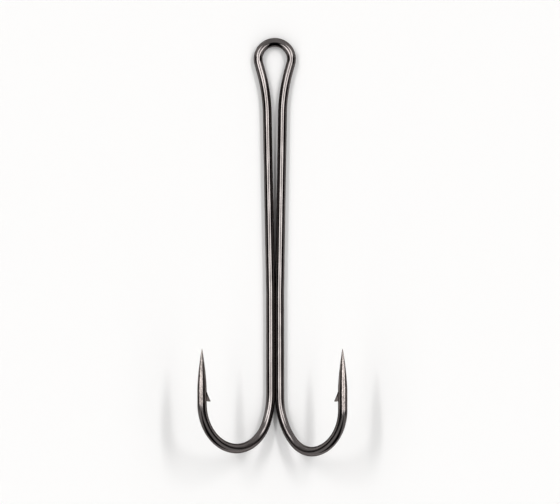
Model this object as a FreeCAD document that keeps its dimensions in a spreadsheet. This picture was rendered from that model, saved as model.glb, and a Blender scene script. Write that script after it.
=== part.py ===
# Double hook with a long open shank, in millimetres.
#
# The hook is one length of hard wire. It is bent over at the eye, runs down as two legs
# that close up on each other, and turns outwards into two bends, each with a barbed point.
# Every stretch of the wire is a solid of its own, and neighbours meet face to face.
#
# The hook lies on its legs, with +Z up. The origin is the centre of the eye's crown, in
# the middle of the wire. The eye points to +Y, and the legs run down to -Y. Both hooks
# rise from the legs' plane, one to the left (-X) and one to the right (+X).
#
# Each hook is drawn in its own flat frame, which turns about its leg: X points outwards,
# away from the leg, and Y points to the eye. The left frame is the right one turned over.
import FreeCAD, Part
import math
import os
import Sketcher

DRIVING_SIZES = {
    # the wire, round at the eye and legs, and forged slightly flat towards the points
    "wire_diameter": 1.17,
    "forged_width": 1.36,
    "forged_thickness": 1.03,
    # the eye: a crown arc that closes past its widest place, then flanks that straighten
    "crown_radius": 2.20,
    "neck_angle": 15.7,
    "neck_straight": 1.10,
    "neck_radius": 22.0,
    # the legs: they close at the splay angle, then lie side by side down to the bends
    "leg_pitch": 1.18,
    "splay_angle": 1.0,
    "splay_radius": 44.0,
    # how far each hook rises from the plane that the legs lie in
    "hook_lift": 40.0,
    # the points, and the sliver that is cut and lifted from each as its barb
    "point_taper": 5.6,
    "point_fullness": 1.6,
    "tip_radius": 0.03,
    "barb_setback": 5.6,
    "barb_length": 1.40,
    "barb_depth": 0.31,
    "barb_edge": 0.05,
    "barb_tip": 0.12,
    "barb_lift": 27.4,
    # the left hook is the wider and shallower of the two
    "left_foot": 44.08,
    "left_heel_radius": 10.77,
    "left_heel_angle": 20.2,
    "left_throat_radius": 5.51,
    "left_throat_angle": 72.0,
    "left_front_radius": 5.99,
    "left_spear": 7.23,
    # the right hook is narrower and deeper
    "right_foot": 44.68,
    "right_heel_radius": 8.43,
    "right_heel_angle": 42.9,
    "right_throat_radius": 4.43,
    "right_throat_angle": 59.9,
    "right_front_radius": 5.57,
    "right_spear": 8.06,
}

SIDES = ("left", "right")
ORIGIN_GEOMETRY = -1
X_AXIS = -1
Y_AXIS = -2
START, END, CENTRE = 1, 2, 3


# ---------------------------------------------------------------- the document and sheet

doc = FreeCAD.newDocument("double_hook")
sheet = doc.addObject("Spreadsheet::Sheet", "sizes")


def fill_sheet():
    for row, (name, value) in enumerate(DRIVING_SIZES.items(), start=1):
        sheet.set(f"A{row}", name)
        sheet.set(f"B{row}", str(value))
        sheet.setAlias(f"B{row}", name)
    doc.recompute()


def size(name):
    return float(getattr(sheet, name))


def sine(name):
    return math.sin(math.radians(size(name)))


def cosine(name):
    return math.cos(math.radians(size(name)))


# ---------------------------------------------------------------- places, as expressions

# where the eye ends and the legs begin, from the crown's centre (x outwards, y drop)
NECK_X = ("(sizes.crown_radius * cos(sizes.neck_angle)"
          " - sizes.neck_straight * sin(sizes.neck_angle)"
          " - sizes.neck_radius * (cos(sizes.splay_angle) - cos(sizes.neck_angle)))")
NECK_DROP = ("(sizes.crown_radius * sin(sizes.neck_angle)"
             " + sizes.neck_straight * cos(sizes.neck_angle)"
             " + sizes.neck_radius * (sin(sizes.neck_angle) - sin(sizes.splay_angle)))")


def frame_expression(side, lift):
    """A frame at the foot of a leg, turned about the leg so that X points outwards."""
    if side == "left":
        return (f"placement(vector(-sizes.leg_pitch / 2; -sizes.left_foot; 0);"
                f" rotation(vector(0; 1; 0); 180 + {lift}))")
    return (f"placement(vector(sizes.leg_pitch / 2; -sizes.right_foot; 0);"
            f" rotation(vector(0; 1; 0); -({lift})))")


def front_x(side):
    """How far the point's axis stands from the leg's axis, in the hook's frame."""
    heel = f"sizes.{side}_heel_angle"
    throat = f"({heel} + sizes.{side}_throat_angle)"
    return (f"(sizes.{side}_heel_radius * (1 - cos({heel}))"
            f" + sizes.{side}_throat_radius * (cos({heel}) - cos({throat}))"
            f" + sizes.{side}_front_radius * (1 + cos({throat})))")


def front_drop(side):
    """How far the front end of the bend lies below the foot, in the hook's frame."""
    heel = f"sizes.{side}_heel_angle"
    throat = f"({heel} + sizes.{side}_throat_angle)"
    return (f"(sizes.{side}_heel_radius * sin({heel})"
            f" + sizes.{side}_throat_radius * (sin({throat}) - sin({heel}))"
            f" - sizes.{side}_front_radius * sin({throat}))")


def within_hook(side, x, y, turn="0"):
    """A placement inside the hook's frame, turned about the normal of its plane."""
    hook = frame_expression(side, "sizes.hook_lift")
    return f"{hook} * placement(vector({x}; {y}; 0); rotation(vector(0; 0; 1); {turn}))"


# ---------------------------------------------------------------- sketch helpers

def new_body(name):
    body = doc.addObject("PartDesign::Body", name)
    body.Label = name
    return body


def new_sketch(body, name, plane_role, offset=None):
    plane = next(item for item in body.Origin.OriginFeatures if item.Role == plane_role)
    sketch = body.newObject("Sketcher::SketchObject", f"{body.Name}_{name}")
    sketch.AttachmentSupport = [(plane, "")]
    sketch.MapMode = "FlatFace"
    if offset:
        sketch.setExpression("AttachmentOffset.Base.z", offset)
    return sketch


def drive(sketch, expression, kind, *arguments):
    """Adds a dimension to a sketch and binds it to an expression."""
    start_value = float(sketch.evalExpression(expression))
    if kind == "Angle":
        start_value = math.radians(start_value)
    index = sketch.addConstraint(Sketcher.Constraint(kind, *arguments, start_value))
    sketch.setExpression(f"Constraints[{index}]", expression)


def tie(sketch, kind, *arguments):
    sketch.addConstraint(Sketcher.Constraint(kind, *arguments))


def point(x, y):
    return FreeCAD.Vector(x, y, 0)


def arc(centre, radius, first_degrees, last_degrees):
    circle = Part.Circle(centre, FreeCAD.Vector(0, 0, 1), radius)
    return Part.ArcOfCircle(circle, math.radians(first_degrees), math.radians(last_degrees))


def wire_section(body, name, plane_role):
    """The round section of the wire, centred on the body's origin."""
    sketch = new_sketch(body, name, plane_role)
    circle = Part.Circle(point(0, 0), FreeCAD.Vector(0, 0, 1), size("wire_diameter") / 2)
    sketch.addGeometry(circle, False)
    tie(sketch, "Coincident", 0, CENTRE, ORIGIN_GEOMETRY, START)
    drive(sketch, "sizes.wire_diameter", "Diameter", 0)
    return sketch


def forged_section(body, name, scale="1", offset=None, centre_x=None):
    """The forged section, wide in the hook's plane, on a plane across the wire."""
    sketch = new_sketch(body, name, "XZ_Plane", offset)
    width = f"(sizes.forged_width * {scale})"
    thickness = f"(sizes.forged_thickness * {scale})"
    half_width = float(sketch.evalExpression(width)) / 2
    half_thickness = float(sketch.evalExpression(thickness)) / 2
    shift = float(sketch.evalExpression(centre_x)) if centre_x else 0.0
    ellipse = Part.Ellipse(point(shift, 0), half_width, half_thickness)
    sketch.addGeometry(ellipse, False)
    sketch.exposeInternalGeometry(0)
    major_axis, minor_axis = 1, 2
    tie(sketch, "Horizontal", major_axis)
    if centre_x:
        tie(sketch, "PointOnObject", 0, CENTRE, X_AXIS)
        drive(sketch, centre_x, "DistanceX", ORIGIN_GEOMETRY, START, 0, CENTRE)
    else:
        tie(sketch, "Coincident", 0, CENTRE, ORIGIN_GEOMETRY, START)
    drive(sketch, width, "Distance", major_axis)
    drive(sketch, thickness, "Distance", minor_axis)
    return sketch


def sweep(body, name, section, path, last_section=None):
    pipe = body.newObject("PartDesign::AdditivePipe", f"{body.Name}_{name}")
    pipe.Profile = section
    edges = [f"Edge{index + 1}" for index in range(path.GeometryCount)]
    pipe.Spine = (path, edges)
    if last_section:
        pipe.Transformation = "Multisection"
        pipe.Sections = [last_section]
    return pipe


# ---------------------------------------------------------------- the eye and the legs

def build_eye():
    """Half of the eye is swept from the top of the crown, and mirrored across the middle."""
    body = new_body("eye")
    path = new_sketch(body, "path", "XY_Plane")
    crown, neck = size("crown_radius"), size("neck_radius")
    flank_top = point(crown * cosine("neck_angle"), -crown * sine("neck_angle"))
    flank_end = flank_top + point(-size("neck_straight") * sine("neck_angle"),
                                  -size("neck_straight") * cosine("neck_angle"))
    neck_centre = flank_end + point(neck * cosine("neck_angle"), -neck * sine("neck_angle"))
    path.addGeometry(arc(point(0, 0), crown, -size("neck_angle"), 90), False)
    path.addGeometry(Part.LineSegment(flank_top, flank_end), False)
    path.addGeometry(arc(neck_centre, neck, 180 - size("neck_angle"),
                         180 - size("splay_angle")), False)
    crown_arc, flank, neck_arc = 0, 1, 2
    tie(path, "Coincident", crown_arc, CENTRE, ORIGIN_GEOMETRY, START)
    tie(path, "PointOnObject", crown_arc, END, Y_AXIS)
    tie(path, "Tangent", crown_arc, START, flank, START)
    tie(path, "Tangent", flank, END, neck_arc, START)
    drive(path, "sizes.crown_radius", "Radius", crown_arc)
    drive(path, "90 + sizes.neck_angle", "Angle", crown_arc)
    drive(path, "sizes.neck_straight", "Distance", flank)
    drive(path, "sizes.neck_radius", "Radius", neck_arc)
    drive(path, "sizes.neck_angle - sizes.splay_angle", "Angle", neck_arc)

    section = new_sketch(body, "section", "YZ_Plane")
    circle = Part.Circle(point(crown, 0), FreeCAD.Vector(0, 0, 1), size("wire_diameter") / 2)
    section.addGeometry(circle, False)
    tie(section, "PointOnObject", 0, CENTRE, X_AXIS)
    drive(section, "sizes.crown_radius", "DistanceX", ORIGIN_GEOMETRY, START, 0, CENTRE)
    drive(section, "sizes.wire_diameter", "Diameter", 0)

    half = sweep(body, "half", section, path)
    doc.recompute()
    mirrored = body.newObject("PartDesign::Mirrored", "eye_mirrored")
    mirrored.Originals = [half]
    middle = next(item for item in body.Origin.OriginFeatures if item.Role == "YZ_Plane")
    mirrored.MirrorPlane = (middle, [""])
    body.Tip = mirrored
    return body


def build_leg(side):
    """A leg runs up from its foot, beside the other leg, and then parts from it."""
    body = new_body(f"{side}_leg")
    path = new_sketch(body, "path", "XY_Plane")
    end_x = f"{NECK_X} - sizes.leg_pitch / 2"
    end_y = f"sizes.{side}_foot - {NECK_DROP}"
    end = point(path.evalExpression(end_x), path.evalExpression(end_y))
    radius = size("splay_radius")
    rise = point(radius * (1 - cosine("splay_angle")), radius * sine("splay_angle"))
    parted = (end.x - rise.x) / sine("splay_angle")
    bend_top = end - point(parted * sine("splay_angle"), parted * cosine("splay_angle"))
    bend_bottom = point(0, bend_top.y - rise.y)
    path.addGeometry(Part.LineSegment(point(0, 0), bend_bottom), False)
    path.addGeometry(arc(bend_bottom + point(radius, 0), radius,
                         180 - size("splay_angle"), 180), False)
    path.addGeometry(Part.LineSegment(bend_top, end), False)
    together, splay, apart = 0, 1, 2
    tie(path, "Coincident", together, START, ORIGIN_GEOMETRY, START)
    tie(path, "Vertical", together)
    tie(path, "Tangent", together, END, splay, END)
    tie(path, "Tangent", splay, START, apart, START)
    drive(path, "sizes.splay_radius", "Radius", splay)
    drive(path, "sizes.splay_angle", "Angle", splay)
    drive(path, end_x, "DistanceX", ORIGIN_GEOMETRY, START, apart, END)
    drive(path, end_y, "DistanceY", ORIGIN_GEOMETRY, START, apart, END)
    sweep(body, "wire", wire_section(body, "section", "XZ_Plane"), path)
    body.setExpression("Placement", frame_expression(side, "0"))
    return body


# ---------------------------------------------------------------- the bends and points

def build_bend(side):
    """Three tangent arcs, heel, throat and front, with a section that turns oval."""
    body = new_body(f"{side}_bend")
    path = new_sketch(body, "path", "XY_Plane")
    radii = [size(f"{side}_{name}_radius") for name in ("heel", "throat", "front")]
    heel = size(f"{side}_heel_angle")
    turns = [0, heel, heel + size(f"{side}_throat_angle"), 180]
    centre = point(radii[0], 0)
    for index, radius in enumerate(radii):
        if index:
            step = radii[index - 1] - radius
            turn = math.radians(turns[index])
            centre = centre + point(-step * math.cos(turn), -step * math.sin(turn))
        first, last = 180 + turns[index], 180 + turns[index + 1]
        path.addGeometry(arc(centre, radius, first, last), False)
    heel_arc, throat_arc, front_arc = 0, 1, 2
    tie(path, "Coincident", heel_arc, START, ORIGIN_GEOMETRY, START)
    tie(path, "PointOnObject", heel_arc, CENTRE, X_AXIS)
    tie(path, "Tangent", heel_arc, END, throat_arc, START)
    tie(path, "Tangent", throat_arc, END, front_arc, START)
    tie(path, "Horizontal", front_arc, CENTRE, front_arc, END)
    drive(path, f"sizes.{side}_heel_radius", "Radius", heel_arc)
    drive(path, f"sizes.{side}_heel_angle", "Angle", heel_arc)
    drive(path, f"sizes.{side}_throat_radius", "Radius", throat_arc)
    drive(path, f"sizes.{side}_throat_angle", "Angle", throat_arc)
    drive(path, f"sizes.{side}_front_radius", "Radius", front_arc)
    first = wire_section(body, "foot", "XZ_Plane")
    last = forged_section(body, "front", offset=front_drop(side), centre_x=front_x(side))
    sweep(body, "wire", first, path, last)
    body.setExpression("Placement", frame_expression(side, "sizes.hook_lift"))
    return body


def build_point(side):
    """The straight spear and its taper, with the cut that the barb was lifted from."""
    body = new_body(f"{side}_point")
    shoulder = f"(sizes.{side}_spear - sizes.point_taper)"
    sections = [forged_section(body, "foot"), forged_section(body, "shoulder", offset=f"-{shoulder}")]
    spear = body.newObject("PartDesign::AdditiveLoft", f"{side}_spear")
    spear.Profile = sections[0]
    spear.Sections = [sections[1]]

    stations = 6
    tapered = []
    for index in range(stations + 1):
        along = f"{index / stations}"
        tip = "2 * sizes.tip_radius / sizes.forged_width"
        scale = f"({tip} + (1 - {tip}) * (1 - pow({along}; sizes.point_fullness)))"
        height = f"-({shoulder} + sizes.point_taper * {along})"
        tapered.append(forged_section(body, f"taper{index}", scale, height))
    taper = body.newObject("PartDesign::AdditiveLoft", f"{side}_taper")
    taper.Profile = tapered[0]
    taper.Sections = tapered[1:]

    cut = new_sketch(body, "cut", "XY_Plane")
    top = f"(sizes.{side}_spear - sizes.barb_setback)"
    draw_barb_cut(cut, "-sizes.forged_width", "(sizes.barb_depth - sizes.forged_width / 2)",
                  "(sizes.barb_edge - sizes.forged_width / 2)", top)
    pocket = body.newObject("PartDesign::Pocket", f"{side}_barb_cut")
    pocket.Profile = cut
    pocket.Type = "ThroughAll"
    pocket.Midplane = True
    body.setExpression("Placement", within_hook(side, front_x(side), f"-{front_drop(side)}"))
    return body


def draw_barb_cut(sketch, outside_x, deep_x, shallow_x, top_y):
    """A closed four-sided outline whose sloping side is the chisel's path."""
    values = [float(sketch.evalExpression(item)) for item in (outside_x, deep_x, shallow_x, top_y)]
    outside, deep, shallow, top = values
    bottom = top - size("barb_length")
    corners = [point(outside, top), point(deep, top), point(shallow, bottom), point(outside, bottom)]
    for index, corner in enumerate(corners):
        sketch.addGeometry(Part.LineSegment(corner, corners[(index + 1) % 4]), False)
    for index in range(4):
        tie(sketch, "Coincident", index, END, (index + 1) % 4, START)
    tie(sketch, "Horizontal", 0)
    tie(sketch, "Horizontal", 2)
    tie(sketch, "Vertical", 3)
    drive(sketch, outside_x, "DistanceX", ORIGIN_GEOMETRY, START, 0, START)
    drive(sketch, deep_x, "DistanceX", ORIGIN_GEOMETRY, START, 1, START)
    drive(sketch, shallow_x, "DistanceX", ORIGIN_GEOMETRY, START, 2, START)
    drive(sketch, top_y, "DistanceY", ORIGIN_GEOMETRY, START, 0, START)
    drive(sketch, "sizes.barb_length", "DistanceY", 3, START, 3, END)


def build_barb(side, point_body):
    """The chip that the cut freed, turned outwards about the cut's deep end."""
    chip = new_body(f"{side}_barb_chip")
    centre = "(sizes.forged_width / 2 - sizes.barb_depth)"
    section = forged_section(chip, "section", centre_x=centre)
    block = chip.newObject("PartDesign::Pad", f"{side}_chip_block")
    block.Profile = section
    block.setExpression("Length", "sizes.barb_length")
    waste = new_sketch(chip, "waste", "XY_Plane")
    draw_barb_cut(waste, "sizes.forged_width", "0", "(sizes.barb_tip - sizes.barb_depth)", "0")
    pocket = chip.newObject("PartDesign::Pocket", f"{side}_chip_waste")
    pocket.Profile = waste
    pocket.Type = "ThroughAll"
    pocket.Midplane = True
    hinge_x = f"{front_x(side)} - {centre}"
    hinge_y = f"sizes.{side}_spear - sizes.barb_setback - {front_drop(side)}"
    chip.setExpression("Placement", within_hook(side, hinge_x, hinge_y, "-sizes.barb_lift"))
    barb = doc.addObject("Part::Cut", f"{side}_barb")
    barb.Label = f"{side}_barb"
    barb.Base = chip
    barb.Tool = point_body
    return barb


# ---------------------------------------------------------------- the whole hook

def check_document():
    for item in doc.Objects:
        if "Invalid" in item.State or "Error" in item.State:
            raise RuntimeError(f"{item.Label} did not recompute: {item.State}")


def write_parts(parts):
    os.makedirs("parts", exist_ok=True)
    for item in parts:
        shape = item.Shape
        if shape.isNull() or not shape.isValid() or not shape.Solids:
            raise RuntimeError(f"{item.Label} has no valid solid")
        shape.exportStep(f"parts/{item.Label}.step")
        print(f"{item.Label}: {len(shape.Solids)} solid, {shape.Volume:.4f} mm3")


fill_sheet()
parts = [build_eye()]
for hook_side in SIDES:
    parts.append(build_leg(hook_side))
    parts.append(build_bend(hook_side))
    parts.append(build_point(hook_side))
    parts.append(build_barb(hook_side, parts[-1]))
doc.recompute()
check_document()
write_parts(parts)
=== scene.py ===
import math

import bmesh
import bpy
import numpy as np
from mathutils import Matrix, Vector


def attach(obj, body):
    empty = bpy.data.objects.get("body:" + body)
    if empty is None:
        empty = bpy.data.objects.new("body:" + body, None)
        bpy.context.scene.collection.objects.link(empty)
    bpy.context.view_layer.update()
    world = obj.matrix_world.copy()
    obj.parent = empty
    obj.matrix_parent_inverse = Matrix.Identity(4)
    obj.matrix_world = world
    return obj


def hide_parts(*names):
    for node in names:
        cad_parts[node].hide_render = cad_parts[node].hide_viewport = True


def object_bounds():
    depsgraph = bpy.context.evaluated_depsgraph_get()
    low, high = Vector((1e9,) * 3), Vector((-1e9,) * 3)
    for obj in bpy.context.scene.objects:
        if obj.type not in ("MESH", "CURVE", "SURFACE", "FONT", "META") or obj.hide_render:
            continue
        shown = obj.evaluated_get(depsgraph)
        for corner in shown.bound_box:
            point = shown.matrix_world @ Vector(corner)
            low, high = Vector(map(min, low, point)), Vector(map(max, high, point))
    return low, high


# Looks for a double fishing hook of black-nickel plated wire, lying on its legs.
# Lengths are in millimetres and angles in degrees, as the part's own source has them.
# They turn into metres where a mesh, a relief, a lamp or the camera is made.

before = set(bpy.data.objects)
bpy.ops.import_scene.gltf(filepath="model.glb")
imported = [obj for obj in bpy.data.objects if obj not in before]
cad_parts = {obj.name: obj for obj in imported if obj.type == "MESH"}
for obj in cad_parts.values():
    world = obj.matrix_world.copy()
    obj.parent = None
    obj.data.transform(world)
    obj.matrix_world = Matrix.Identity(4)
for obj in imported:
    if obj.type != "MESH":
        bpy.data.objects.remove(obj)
cad_low, cad_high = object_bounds()

MM = 0.001

# ---------------------------------------------------------------- sizes of the hook

# The wire is round down to the foot of each leg. Round the bend it turns evenly into the
# forged oval, which the point has too.
WIRE_RADIUS = 1.17 / 2
FORGED_HALF_WIDTH = 1.36 / 2
FORGED_HALF_THICKNESS = 1.03 / 2

# Radii and runs of the eye and the legs, on the middle of the wire.
CROWN_RADIUS = 2.20
NECK_ANGLE = 15.7
NECK_STRAIGHT = 1.10
NECK_RADIUS = 22.0
LEG_HALF_PITCH = 1.18 / 2
SPLAY_ANGLE = 1.0
SPLAY_RADIUS = 44.0

# Each hook is turned up out of the legs' plane by the lift. Its foot is the distance from
# the crown's centre down to where the leg ends. Its heel and its throat are each (radius,
# turn), the front arc turns through what is left of the half circle, and the spear is
# straight up to the tip.
HOOK_LIFT = 40.0
HOOKS = {
    "left": {"side": -1, "foot": 44.08, "heel": (10.77, 20.2), "throat": (5.51, 72.0),
             "front_radius": 5.99, "spear": 7.23},
    "right": {"side": 1, "foot": 44.68, "heel": (8.43, 42.9), "throat": (4.43, 59.9),
              "front_radius": 5.57, "spear": 8.06},
}

# The spear tapers over its last stretch. A fullness of 1 would be a straight cone, and
# more than that bellies the taper out.
POINT_TAPER = 5.6
POINT_FULLNESS = 1.6
TIP_RADIUS = 0.03

# The barb is a chip cut from the inner side of the spear. It is raised about a hinge, at
# the deep end of the cut, and its free end points back towards the bend. Its root stays
# buried in the spear, and a curl of 1 would leave it straight.
HINGE_TO_TIP = 5.6
CUT_LENGTH = 1.40
CUT_DEPTH_AT_HINGE = 0.33
CUT_DEPTH_AT_START = 0.05
BARB_ROOT = 0.30
BARB_REACH = 1.28
BARB_RISE = 0.64
BARB_CURL = 1.15
BARB_EDGE_THICKNESS = 0.21

# ---------------------------------------------------------------- fineness of the meshes

RING_POINTS = 96
BARB_RING_POINTS = 40
RING_STEP = 0.10
POINT_STEP = 0.06
BARB_STEPS = 44
SHARP_ANGLE = 35

# A close ring beside each end keeps the shading even up to the end. The cut's end wall, at
# the hinge, is two close rings too.
CLOSE_RING = 0.01
HINGE_WALL = 0.02

# Where the rings of a rounded end stand, as shares of the way to its outermost point.
TIP_ROUNDING = (0.45, 0.75, 0.93)
BARB_ROUNDING = (0.5, 0.8, 0.95)


# ---------------------------------------------------------------- the wire's route

def eye_runs():
    """Half of the eye, from the top of the crown: its arc, a straight flank, the neck."""
    neck, splay = math.radians(NECK_ANGLE), math.radians(SPLAY_ANGLE)
    return [(CROWN_RADIUS * (math.pi / 2 + neck), 1 / CROWN_RADIUS),
            (NECK_STRAIGHT, 0.0),
            (NECK_RADIUS * (neck - splay), -1 / NECK_RADIUS)]


def leg_runs(foot):
    """One leg: straight with a slight splay, a slow arc, then straight beside the other."""
    neck, splay = math.radians(NECK_ANGLE), math.radians(SPLAY_ANGLE)
    eye_end_x = (CROWN_RADIUS * math.cos(neck) - NECK_STRAIGHT * math.sin(neck)
                 - NECK_RADIUS * (math.cos(splay) - math.cos(neck)))
    eye_end_drop = (CROWN_RADIUS * math.sin(neck) + NECK_STRAIGHT * math.cos(neck)
                    + NECK_RADIUS * (math.sin(neck) - math.sin(splay)))
    splay_in = SPLAY_RADIUS * (1 - math.cos(splay))
    splayed = (eye_end_x - LEG_HALF_PITCH - splay_in) / math.sin(splay)
    parallel = (foot - eye_end_drop - splayed * math.cos(splay)
                - SPLAY_RADIUS * math.sin(splay))
    return [(splayed, 0.0), (SPLAY_RADIUS * splay, -1 / SPLAY_RADIUS), (parallel, 0.0)]


def bend_runs(hook):
    """One bend, as three arcs that touch: heel, throat and front."""
    heel_radius, heel_turn = hook["heel"]
    throat_radius, throat_turn = hook["throat"]
    front_radius, front_turn = hook["front_radius"], 180 - heel_turn - throat_turn
    return [(heel_radius * math.radians(heel_turn), -1 / heel_radius),
            (throat_radius * math.radians(throat_turn), -1 / throat_radius),
            (front_radius * math.radians(front_turn), -1 / front_radius)]


class Route:
    """The middle line of half the wire, from the top of the crown to the tip of a point.

    Each run is (length, turn per mm), a line or an arc. Down to the foot of the leg they
    lie in the legs' plane. After it, they lie in the hook's own plane, which is turned up
    about the line of the leg by the lift.
    """

    def __init__(self, hook):
        self.side = hook["side"]
        eye, leg, bend = eye_runs(), leg_runs(hook["foot"]), bend_runs(hook)
        self.runs = eye + leg + bend + [(hook["spear"], 0.0)]
        self.neck_at = sum(length for length, turn in eye)
        self.foot_at = self.neck_at + sum(length for length, turn in leg)
        self.front_at = self.foot_at + sum(length for length, turn in bend)
        self.tip_at = self.front_at + hook["spear"]
        self.foot = np.array([LEG_HALF_PITCH, -hook["foot"]])

    def flat(self, at):
        """Place and heading at a distance along the wire, with the hook laid flat."""
        place = np.array([0.0, CROWN_RADIUS])
        heading = 0.0
        for length, turn in self.runs:
            here = min(max(at, 0.0), length)
            if turn:
                after = heading - turn * here
                place = place + np.array([math.sin(heading) - math.sin(after),
                                          math.cos(after) - math.cos(heading)]) / turn
                heading = after
            else:
                place = place + here * np.array([math.cos(heading), math.sin(heading)])
            at -= length
            if at <= 0:
                break
        return place, heading

    def ring_frame(self, at):
        """Centre, across and upward directions of the section there, and its lift."""
        place, heading = self.flat(at)
        lift = math.radians(HOOK_LIFT) if at > self.foot_at else 0.0
        outward = np.array([self.side * math.cos(lift), 0.0, math.sin(lift)])
        along_y = np.array([0.0, 1.0, 0.0])
        up = np.array([-self.side * math.sin(lift), 0.0, math.cos(lift)])
        base = np.array([self.side * self.foot[0], self.foot[1], 0.0])
        offset = place - self.foot
        centre = base + offset[0] * outward + offset[1] * along_y
        across = -math.sin(heading) * outward + math.cos(heading) * along_y
        return centre, across, up, lift


# ---------------------------------------------------------------- rings of the wire

def stations(start, end, step=RING_STEP):
    """Distances along the wire, even between the ends, with a close ring at each end."""
    count = max(2, round((end - start) / step))
    inner = [start + (end - start) * k / count for k in range(1, count)]
    return [start, start + CLOSE_RING] + inner + [end - CLOSE_RING, end]


def part_way(at, start, end):
    """Share of the way from start to end, held between 0 and 1."""
    return min(max((at - start) / (end - start), 0.0), 1.0)


def section_at(route, at):
    """Half width and half thickness of the full section: round wire, then forged oval."""
    share = part_way(at, route.foot_at, route.front_at)
    half_width = WIRE_RADIUS + (FORGED_HALF_WIDTH - WIRE_RADIUS) * share
    half_thickness = WIRE_RADIUS + (FORGED_HALF_THICKNESS - WIRE_RADIUS) * share
    return half_width, half_thickness


def taper_at(route, at):
    """Scale of the section towards the tip: full at the shoulder, the tip's at the end."""
    share = part_way(at, route.tip_at - POINT_TAPER, route.tip_at)
    least = TIP_RADIUS / FORGED_HALF_WIDTH
    return least + (1 - least) * (1 - share ** POINT_FULLNESS)


def ring_at(route, at, scale=1.0, cut_to=None):
    """One ring of the wire, and the place of each of its points on the wire.

    The places stay with the mesh, so that the finish can follow the wire: two parts round
    its section, and the distance from the crown, which is negative on the left half. Where
    a slice is cut off the ring's outward side, cut_to is how far out it still reaches.
    """
    centre, across, up, lift = route.ring_frame(at)
    half_width, half_thickness = section_at(route, at)
    points, places = [], []
    for k in range(RING_POINTS):
        turn = 2 * math.pi * k / RING_POINTS
        out = half_width * scale * math.cos(turn - lift)
        if cut_to is not None:
            out = min(out, cut_to)
        rise = half_thickness * scale * math.sin(turn - lift)
        points.append(centre + out * across + rise * up)
        places.append((WIRE_RADIUS * scale * math.cos(turn),
                       WIRE_RADIUS * scale * math.sin(turn), route.side * at))
    return points, places


def barb_ring(route, at, rise, thick):
    """One ring of the chip: the wire's skin outside, the flat cut of the chisel inside."""
    centre, across, up, lift = route.ring_frame(at)
    scale = taper_at(route, at)
    half_width, half_thickness = FORGED_HALF_WIDTH * scale, FORGED_HALF_THICKNESS * scale
    half_turn = math.acos((half_width - thick) / half_width)
    points, places = [], []
    half = BARB_RING_POINTS // 2
    for k in range(BARB_RING_POINTS):
        if k < half:
            turn = half_turn * (1 - 2 * k / (half - 1))
            out = half_width * math.cos(turn)
            side = half_thickness * math.sin(turn)
        else:
            across_cut = -1 + 2 * (k - half + 0.5) / half
            turn = half_turn * across_cut
            out = half_width - thick
            side = half_thickness * math.sin(half_turn) * across_cut
        points.append(centre + (out + rise) * across + side * up)
        around = turn + lift
        places.append((WIRE_RADIUS * math.cos(around), WIRE_RADIUS * math.sin(around),
                       route.side * at))
    return points, places


# ---------------------------------------------------------------- pieces

def closed_tube(name, rings):
    """A closed, smooth piece from rings of equal size, each (points, places)."""
    shape = bmesh.new()
    wire_at = shape.verts.layers.float_vector.new("wire_at")
    built = []
    for points, places in rings:
        ring = []
        for point, place in zip(points, places):
            vertex = shape.verts.new([value * MM for value in point])
            vertex[wire_at] = place
            ring.append(vertex)
        built.append(ring)
    for first, second in zip(built, built[1:]):
        for k in range(len(first)):
            after = (k + 1) % len(first)
            shape.faces.new((first[k], first[after], second[after], second[k]))
    for ring, (points, places) in ((built[0], rings[0]), (built[-1], rings[-1])):
        middle = shape.verts.new([value * MM for value in np.mean(points, axis=0)])
        middle[wire_at] = np.mean(places, axis=0)
        for k in range(len(ring)):
            shape.faces.new((ring[k], ring[(k + 1) % len(ring)], middle))
    bmesh.ops.recalc_face_normals(shape, faces=shape.faces[:])
    mesh = bpy.data.meshes.new(name)
    shape.to_mesh(mesh)
    shape.free()
    mesh.polygons.foreach_set("use_smooth", [True] * len(mesh.polygons))
    mesh.set_sharp_from_angle(angle=math.radians(SHARP_ANGLE))
    piece = bpy.data.objects.new(name, mesh)
    bpy.context.scene.collection.objects.link(piece)
    return piece


def make_eye(left, right):
    """The crown and its two flanks: one tube, from neck to neck over the top."""
    # The two halves share one ring at the crown's top, and need no close ring beside it.
    rings = [ring_at(left, at) for at in reversed(stations(0.0, left.neck_at)[2:])]
    rings += [ring_at(right, at) for at in [0.0] + stations(0.0, right.neck_at)[2:]]
    return closed_tube("eye_wire", rings)


def make_run(name, route, start, end):
    """A leg or a bend: the whole wire between two distances along it."""
    return closed_tube(name, [ring_at(route, at) for at in stations(start, end)])


def make_point(name, route):
    """The spear, with the slice taken out of its inner side where the barb is raised."""
    hinge = route.tip_at - HINGE_TO_TIP
    start = hinge - CUT_LENGTH
    along = stations(route.front_at, route.tip_at - TIP_RADIUS, POINT_STEP)
    along = sorted(along + [hinge - HINGE_WALL, hinge, start])
    rings = []
    for at in along:
        cut_to = None
        if start <= at < hinge:
            deepening = (CUT_DEPTH_AT_HINGE - CUT_DEPTH_AT_START) * (at - start) / CUT_LENGTH
            cut_to = FORGED_HALF_WIDTH - (CUT_DEPTH_AT_START + deepening)
        rings.append(ring_at(route, at, taper_at(route, at), cut_to))
    for share in TIP_ROUNDING:
        at = route.tip_at - TIP_RADIUS * (1 - share)
        dome = math.sqrt(1 - share ** 2)
        rings.append(ring_at(route, at, TIP_RADIUS / FORGED_HALF_WIDTH * dome))
    return closed_tube(name, rings)


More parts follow.
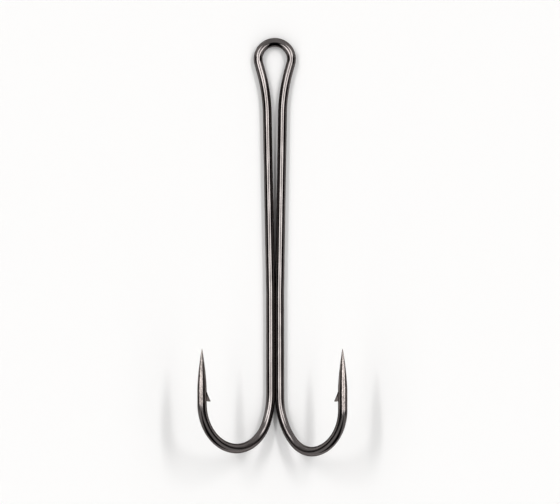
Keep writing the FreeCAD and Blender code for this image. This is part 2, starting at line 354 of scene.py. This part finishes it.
def make_barb(name, route):
    """The chip raised from the slice: it curls out, thins, and ends in a blunt edge."""
    hinge = route.tip_at - HINGE_TO_TIP
    first, last = hinge + BARB_ROOT, hinge - BARB_REACH
    rings = []
    for k in range(BARB_STEPS + 1):
        at = first + (last - first) * k / BARB_STEPS
        free = max(0.0, hinge - at) / BARB_REACH
        rise = BARB_RISE * free ** BARB_CURL
        thick = CUT_DEPTH_AT_HINGE + (BARB_EDGE_THICKNESS - CUT_DEPTH_AT_HINGE) * free
        rings.append(barb_ring(route, at, rise, thick))
    edge_radius = BARB_EDGE_THICKNESS / 2
    for share in BARB_ROUNDING:
        at = last - edge_radius * share
        round_off = 1 - math.sqrt(1 - share ** 2)
        rise = BARB_RISE * (1 + (last - at) / BARB_REACH) - edge_radius * round_off
        rings.append(barb_ring(route, at, rise, BARB_EDGE_THICKNESS * (1 - round_off)))
    return closed_tube(name, rings)


routes = {name: Route(hook) for name, hook in HOOKS.items()}
pieces = {"eye": make_eye(routes["left"], routes["right"])}
for name, route in routes.items():
    pieces[name + "_leg"] = make_run(name + "_leg_wire", route, route.neck_at, route.foot_at)
    pieces[name + "_bend"] = make_run(name + "_bend_wire", route, route.foot_at, route.front_at)
    pieces[name + "_point"] = make_point(name + "_point_spear", route)
    pieces[name + "_barb"] = make_barb(name + "_barb_chip", route)


# ---------------------------------------------------------------- shader nodes

def node(tree, kind, **values):
    """A new node with some of its own settings."""
    made = tree.nodes.new(kind)
    for key, value in values.items():
        setattr(made, key, value)
    return made


def fill_socket(tree, socket, value):
    """Links another node's output to a socket, or sets a plain value on it."""
    if isinstance(value, bpy.types.NodeSocket):
        tree.links.new(value, socket)
    else:
        socket.default_value = value


def math_node(tree, operation, *values):
    """One operation on plain values or on other nodes' outputs."""
    made = node(tree, "ShaderNodeMath", operation=operation)
    for slot, value in enumerate(values):
        fill_socket(tree, made.inputs[slot], value)
    return made.outputs["Value"]


def mix(tree, data_type, share, first, second):
    """The first value where the share is 0, and the second where it is 1."""
    made = node(tree, "ShaderNodeMix", data_type=data_type)
    for socket, value in (("Factor", share), ("A", first), ("B", second)):
        fill_socket(tree, made.inputs[socket], value)
    return made.outputs["Result"]


def map_range(tree, value, from_range, to_range=(0.0, 1.0), shape="LINEAR"):
    """A value carried from one range to another, and held at the ends."""
    made = node(tree, "ShaderNodeMapRange", interpolation_type=shape)
    made.inputs["From Min"].default_value = from_range[0]
    made.inputs["From Max"].default_value = from_range[1]
    made.inputs["To Min"].default_value = to_range[0]
    made.inputs["To Max"].default_value = to_range[1]
    tree.links.new(value, made.inputs["Value"])
    return made.outputs["Result"]


def noise(tree, place, grain):
    """Noise on the wire's own coordinates, in millimetres, stretched along the wire."""
    scale, stretch, detail = grain
    mapping = node(tree, "ShaderNodeMapping")
    mapping.inputs["Scale"].default_value = (1.0, 1.0, 1.0 / stretch)
    tree.links.new(place, mapping.inputs["Vector"])
    made = node(tree, "ShaderNodeTexNoise")
    made.inputs["Scale"].default_value = scale
    made.inputs["Detail"].default_value = detail
    tree.links.new(mapping.outputs["Vector"], made.inputs["Vector"])
    return made.outputs["Fac"]


def bump(tree, height, depth, below=None):
    """Relief of a depth in millimetres, on top of the relief below it if there is one."""
    made = node(tree, "ShaderNodeBump")
    made.inputs["Strength"].default_value = 1.0
    made.inputs["Distance"].default_value = depth * MM
    tree.links.new(height, made.inputs["Height"])
    if below is not None:
        tree.links.new(below, made.inputs["Normal"])
    return made.outputs["Normal"]


# ---------------------------------------------------------------- finish

# The plating's glancing reflections are dark, which gives the wire its black edges.
EDGE_TINT = (0.15, 0.14, 0.14)

# Grains are (scale, stretch along the wire, detail). A spread is the part of a noise's
# range over which the finish changes.
DRAW_LINE_GRAIN = (9.0, 30.0, 3.0)
PATCH_GRAIN = (1.1, 3.0, 3.0)
PATCH_SPREAD = (0.35, 0.68)
SPECK_SPREAD = (0.3, 0.75)

# The bends are a little more satin than the legs, as forging leaves them. It sets in from
# just above the foot of a leg, over a short stretch of the bend.
FORGING_LEAD = 1.0
FORGING_FADE = 3.0

WIRE_LOOKS = {"thick": (0.116, 0.104, 0.101), "thin": (0.155, 0.140, 0.136),
              "roughness": (0.06, 0.12), "satin": 0.06, "draw_depth": 0.0018,
              "speck_grain": (14.0, 2.0, 2.0), "speck_depth": 0.001}
POINT_LOOKS = {"thick": (0.146, 0.128, 0.121), "thin": (0.210, 0.186, 0.177),
               "roughness": (0.17, 0.26), "satin": 0.0, "draw_depth": 0.005,
               "speck_grain": (6.0, 2.0, 2.0), "speck_depth": 0.016}


def plated(name, looks, foot_at):
    """Black-nickel plating over drawn wire: draw lines along it, pits, and thin patches."""
    material = bpy.data.materials.new(name)
    material.use_nodes = True
    tree = material.node_tree
    shader = tree.nodes["Principled BSDF"]
    shader.inputs["Metallic"].default_value = 1.0
    shader.inputs["Specular Tint"].default_value = (*EDGE_TINT, 1)
    place = node(tree, "ShaderNodeAttribute", attribute_type="GEOMETRY",
                 attribute_name="wire_at").outputs["Vector"]
    draw_lines = noise(tree, place, DRAW_LINE_GRAIN)
    patches = noise(tree, place, PATCH_GRAIN)
    specks = noise(tree, place, looks["speck_grain"])

    thin_share = map_range(tree, patches, PATCH_SPREAD)
    colour = mix(tree, "RGBA", thin_share, (*looks["thick"], 1), (*looks["thin"], 1))
    tree.links.new(colour, shader.inputs["Base Color"])

    parts = node(tree, "ShaderNodeSeparateXYZ")
    tree.links.new(place, parts.inputs["Vector"])
    distance = math_node(tree, "ABSOLUTE", parts.outputs["Z"])
    forged = map_range(tree, distance, (foot_at - FORGING_LEAD, foot_at + FORGING_FADE),
                       shape="SMOOTHSTEP")
    speckled = map_range(tree, specks, SPECK_SPREAD, looks["roughness"])
    satin = math_node(tree, "MULTIPLY", forged, looks["satin"])
    tree.links.new(math_node(tree, "ADD", speckled, satin), shader.inputs["Roughness"])

    lines = bump(tree, draw_lines, looks["draw_depth"])
    pits = bump(tree, specks, looks["speck_depth"], below=lines)
    tree.links.new(pits, shader.inputs["Normal"])
    return material


wire_finish = plated("plated_wire", WIRE_LOOKS, routes["left"].foot_at)
point_finish = plated("plated_point", POINT_LOOKS, routes["left"].foot_at)

for node_name, piece in pieces.items():
    on_point = node_name.endswith(("_point", "_barb"))
    piece.data.materials.append(point_finish if on_point else wire_finish)
    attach(piece, "root")
    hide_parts(node_name)


# ---------------------------------------------------------------- floor

FLOOR_HALF_SIZE = 3000
FLOOR_COLOUR = (0.90, 0.893, 0.886)
FLOOR_ROUGHNESS = 0.9


def make_floor():
    """A plain, pale, matt sheet under the hook."""
    half = FLOOR_HALF_SIZE * MM
    mesh = bpy.data.meshes.new("floor")
    corners = [(-half, -half), (half, -half), (half, half), (-half, half)]
    mesh.from_pydata([(x, y, cad_low.z) for x, y in corners], [], [(0, 1, 2, 3)])
    paper = bpy.data.materials.new("paper")
    paper.use_nodes = True
    shader = paper.node_tree.nodes["Principled BSDF"]
    shader.inputs["Base Color"].default_value = (*FLOOR_COLOUR, 1)
    shader.inputs["Roughness"].default_value = FLOOR_ROUGHNESS
    shader.inputs["Specular IOR Level"].default_value = 0.0
    mesh.materials.append(paper)
    sheet = bpy.data.objects.new("floor", mesh)
    bpy.context.scene.collection.objects.link(sheet)
    return sheet


floor = make_floor()


# ---------------------------------------------------------------- lamps

# Softboxes that only the plating reflects, each (low corner, high corner, radiance).
SOFTBOX_HEIGHT = 118
SOFTBOXES = {
    "softbox_left": ((-82, -54.5), (-20, 15), 6.3),
    "softbox_right": ((20, -54.5), (76, 15), 6.3),
    "softbox_far_left": ((-120, 15), (-55, 66), 5.0),
    "softbox_far_right": ((45, 15), (125, 66), 5.0),
}

# Far, tall, narrow lamps that only light the paper, so that a shadow is drawn out along
# the hook. Each is (low corner, high corner), as slopes from the upright.
KEY_HEIGHT = 60000
KEY_RADIANCE = 26
KEY_LAMPS = {
    "key_left": ((-0.645, 0.25), (-0.555, 0.95)),
    "key_right": ((0.53, 0.25), (0.63, 0.95)),
}


def add_panel(name, low, high, height, radiance, mirrored):
    """A level lamp over the hook. Either the plating mirrors it or the paper is lit by it."""
    light = bpy.data.lights.new(name, "AREA")
    light.shape = "RECTANGLE"
    light.size = (high[0] - low[0]) * MM
    light.size_y = (high[1] - low[1]) * MM
    light.energy = radiance * math.pi * light.size * light.size_y
    panel = bpy.data.objects.new(name, light)
    panel.location = ((low[0] + high[0]) / 2 * MM, (low[1] + high[1]) / 2 * MM, height * MM)
    panel.visible_camera = False
    panel.visible_diffuse = not mirrored
    panel.visible_glossy = mirrored
    bpy.context.scene.collection.objects.link(panel)


for name, slopes in KEY_LAMPS.items():
    corners = [[slope * KEY_HEIGHT for slope in corner] for corner in slopes]
    add_panel(name, *corners, KEY_HEIGHT, KEY_RADIANCE, mirrored=False)
for name, (low_corner, high_corner, radiance) in SOFTBOXES.items():
    add_panel(name, low_corner, high_corner, SOFTBOX_HEIGHT, radiance, mirrored=True)


# ---------------------------------------------------------------- room

BACKDROP_LEVEL = 0.98

# As the plating mirrors it: pale walls, dark to each side, darkest past the foot. Each
# fade is (start, end), as the part of a level direction that points that way.
WALL_LEVEL = 0.72
DARK_LEVEL = 0.0
SIDE_FADE = (0.945, 0.99)
SIDE_DARKNESS = 0.97
FOOT_FADE = (0.76, 0.90)

# As the paper is lit by it: bright half way up each side, dim overhead, so that the gap
# between the legs is dark, and dim at the horizon, so that shadows end near the wire. Each
# fade is (start, end), as the sine of the tilt from the upright to the side.
ROOM_LEVEL = 1.45
OVERHEAD_LEVEL = 0.20
HORIZON_LEVEL = 0.25
OVERHEAD_FADE = (0.32, 0.42)
HORIZON_FADE = (0.70, 0.85)

# Keeps a length from being zero, as other values are divided by it.
TINY_SQUARE = 0.0001


def length_over(tree, first, second):
    """Length of a direction over two of its axes."""
    squares = [math_node(tree, "MULTIPLY", part, part) for part in (first, second)]
    summed = math_node(tree, "ADD", math_node(tree, "ADD", *squares), TINY_SQUARE)
    return math_node(tree, "SQRT", summed)


def mirrored_level(tree, x_part, y_part):
    """How bright the room is where the plating mirrors it."""
    level_length = length_over(tree, x_part, y_part)
    sideways = math_node(tree, "DIVIDE", math_node(tree, "ABSOLUTE", x_part), level_length)
    footwards = math_node(tree, "DIVIDE", math_node(tree, "MULTIPLY", y_part, -1.0),
                          level_length)
    side_dark = math_node(tree, "MULTIPLY", SIDE_DARKNESS,
                          map_range(tree, sideways, SIDE_FADE, shape="SMOOTHSTEP"))
    foot_dark = map_range(tree, footwards, FOOT_FADE, shape="SMOOTHSTEP")
    dark = math_node(tree, "MAXIMUM", side_dark, foot_dark)
    return map_range(tree, dark, (0.0, 1.0), (WALL_LEVEL, DARK_LEVEL))


def lighting_level(tree, x_part, z_part):
    """How bright the room is where it lights the paper."""
    tilt = math_node(tree, "DIVIDE", math_node(tree, "ABSOLUTE", x_part),
                     length_over(tree, x_part, z_part))
    level = map_range(tree, tilt, OVERHEAD_FADE, (OVERHEAD_LEVEL, ROOM_LEVEL), "SMOOTHSTEP")
    low_down = map_range(tree, tilt, HORIZON_FADE, shape="SMOOTHSTEP")
    lost = math_node(tree, "MULTIPLY", low_down, ROOM_LEVEL - HORIZON_LEVEL)
    return math_node(tree, "SUBTRACT", level, lost)


def make_room():
    """The room's light, by what kind of ray meets it and by where that ray points."""
    world = bpy.data.worlds.new("room")
    bpy.context.scene.world = world
    world.use_nodes = True
    tree = world.node_tree
    background = tree.nodes["Background"]
    background.inputs["Color"].default_value = (1, 1, 1, 1)
    direction = node(tree, "ShaderNodeTexCoord").outputs["Generated"]
    parts = node(tree, "ShaderNodeSeparateXYZ")
    tree.links.new(direction, parts.inputs["Vector"])
    x_part, y_part, z_part = parts.outputs["X"], parts.outputs["Y"], parts.outputs["Z"]
    rays = node(tree, "ShaderNodeLightPath")
    level = mix(tree, "FLOAT", rays.outputs["Is Glossy Ray"],
                lighting_level(tree, x_part, z_part), mirrored_level(tree, x_part, y_part))
    shown = mix(tree, "FLOAT", rays.outputs["Is Camera Ray"], level, BACKDROP_LEVEL)
    tree.links.new(shown, background.inputs["Strength"])


make_room()


# ---------------------------------------------------------------- camera

# Straight down from far off. The view's width is measured on the legs' plane.
LENS = 900
SENSOR = 36
VIEW_WIDTH = 73.98
VIEW_CENTRE = (0.654, -25.50)
VIEW_ROLL = -0.08
CLIP_RANGE = (10, 20000)


def make_camera():
    data = bpy.data.cameras.new("camera")
    data.lens = LENS
    data.sensor_width = SENSOR
    data.dof.use_dof = False
    data.clip_start = CLIP_RANGE[0] * MM
    data.clip_end = CLIP_RANGE[1] * MM
    camera = bpy.data.objects.new("camera", data)
    distance = VIEW_WIDTH * LENS / SENSOR
    camera.location = (VIEW_CENTRE[0] * MM, VIEW_CENTRE[1] * MM, distance * MM)
    camera.rotation_euler = (0, 0, math.radians(VIEW_ROLL))
    bpy.context.scene.collection.objects.link(camera)
    bpy.context.scene.camera = camera


make_camera()
bpy.context.scene.view_settings.view_transform = "Standard"
